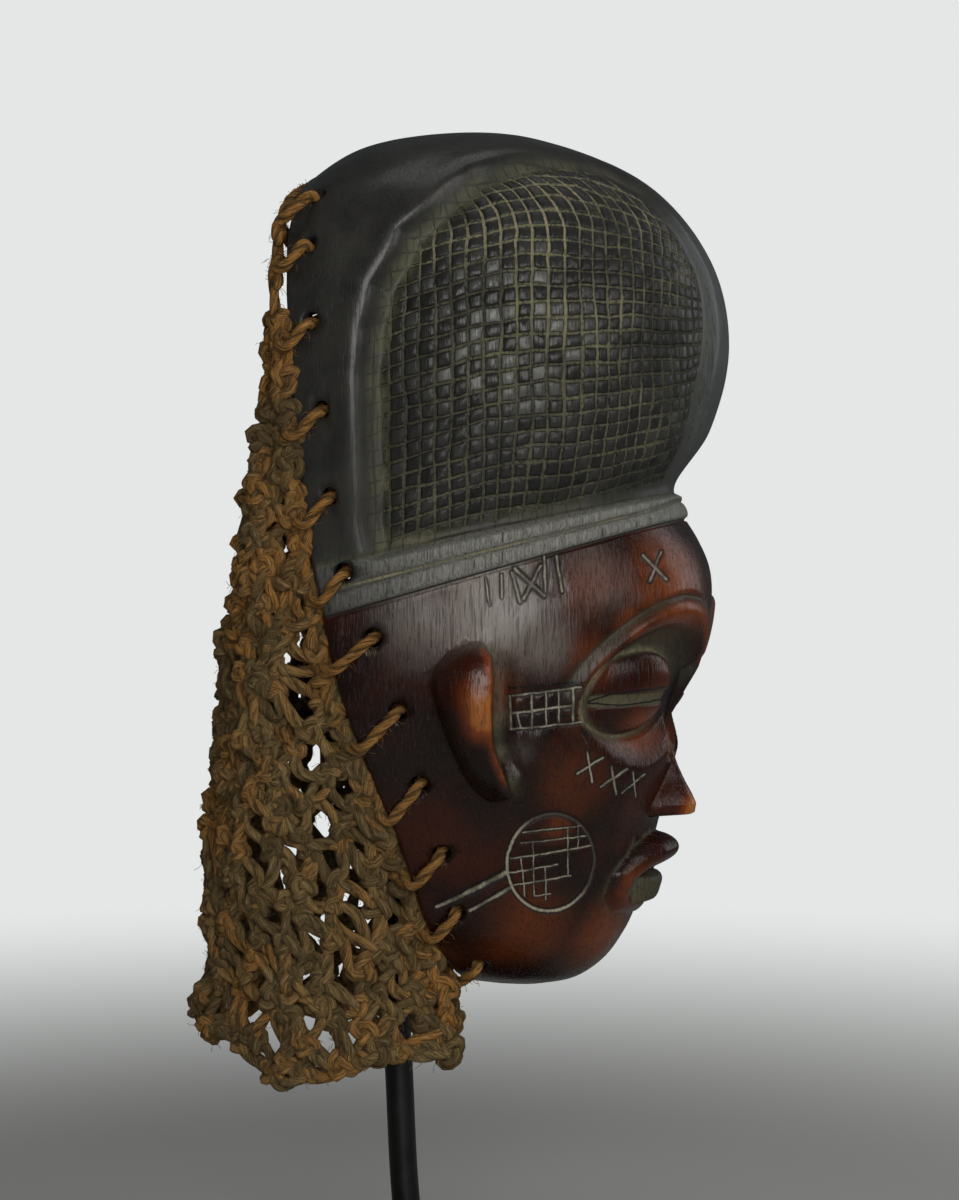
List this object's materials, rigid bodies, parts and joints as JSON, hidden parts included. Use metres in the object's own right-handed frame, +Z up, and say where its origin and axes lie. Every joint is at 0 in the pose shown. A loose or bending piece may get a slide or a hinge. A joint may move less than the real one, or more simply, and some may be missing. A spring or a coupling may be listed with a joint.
{
  "type": "carved wooden face mask on a rod stand",
  "caption": "Hollow carved wooden face mask with a tall crosshatched coiffure and a knotted cord net, on a steel rod stand.",
  "frame": {"origin": "middle of the underside of the stand's foot plate", "axes": "+Z up; the face looks towards -Y; +X is to the right when the face is seen from the front"},
  "size_m": [0.1712, 0.1876, 0.409],
  "materials": {
    "carved_wood": "dark red-brown stained wood, black coiffure, hand polished, pale dust in the cuts",
    "plant_fibre_cord": "rough twisted bark-fibre cord, tan to olive brown",
    "black_steel": "satin black paint"
  },
  "bodies": {
    "root": {"mask": "carved_wood", "net": "plant_fibre_cord", "lacing_cord": "plant_fibre_cord", "stand_rod": "black_steel", "stand_base": "black_steel"}
  },
  "joints": []
}
